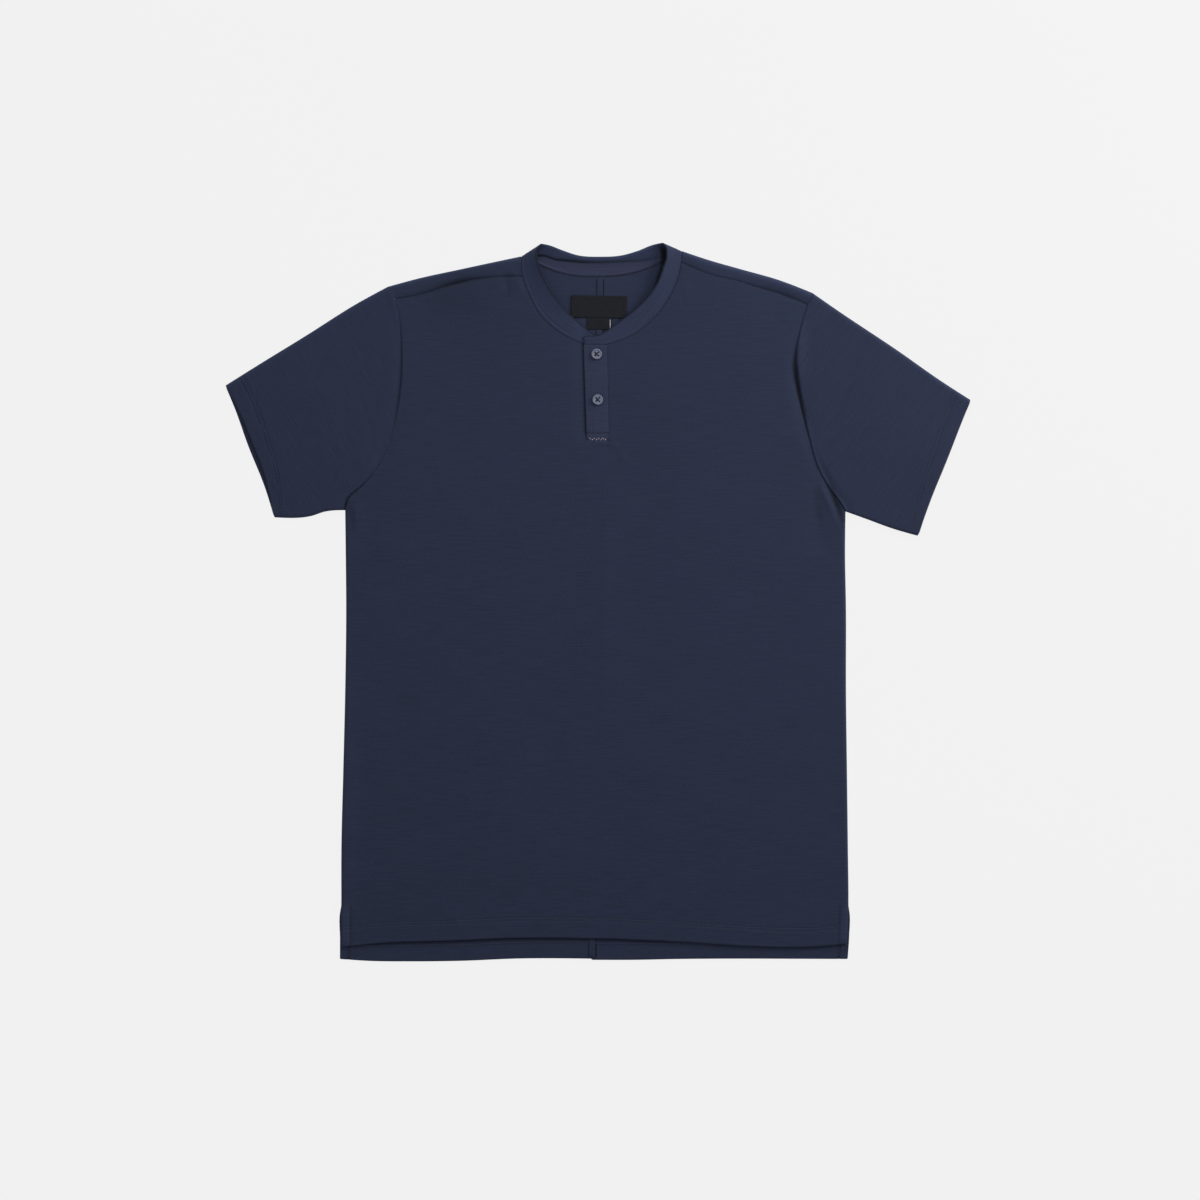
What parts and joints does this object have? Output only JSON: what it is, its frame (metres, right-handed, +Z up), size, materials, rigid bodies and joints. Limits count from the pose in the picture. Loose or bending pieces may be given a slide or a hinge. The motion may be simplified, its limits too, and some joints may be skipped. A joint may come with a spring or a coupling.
{
  "type": "band collar henley shirt",
  "caption": "Short-sleeved navy jersey shirt with a standing band collar and a buttoned placket, laid flat on its back, front hem shorter than the back, side vents",
  "frame": {"origin": "centre of the shirt's outline, on the surface that its back lies on", "axes": "+Z up out of the surface, +X across the shirt to the wearer's left, +Y from the hem to the neck"},
  "size_m": [0.774, 0.746, 0.0127],
  "materials": {
    "jersey": "matte, fine heathered knit",
    "button": "satin",
    "label": "matte woven"
  },
  "bodies": {
    "root": {"back_right": "jersey", "back_left": "jersey", "front": "jersey", "sleeve_right": "jersey", "sleeve_left": "jersey", "collar_band": "jersey", "placket_upper": "jersey", "placket_under": "jersey", "button_upper": "button", "button_lower": "button", "neck_label": "label", "size_label": "label"}
  },
  "joints": []
}
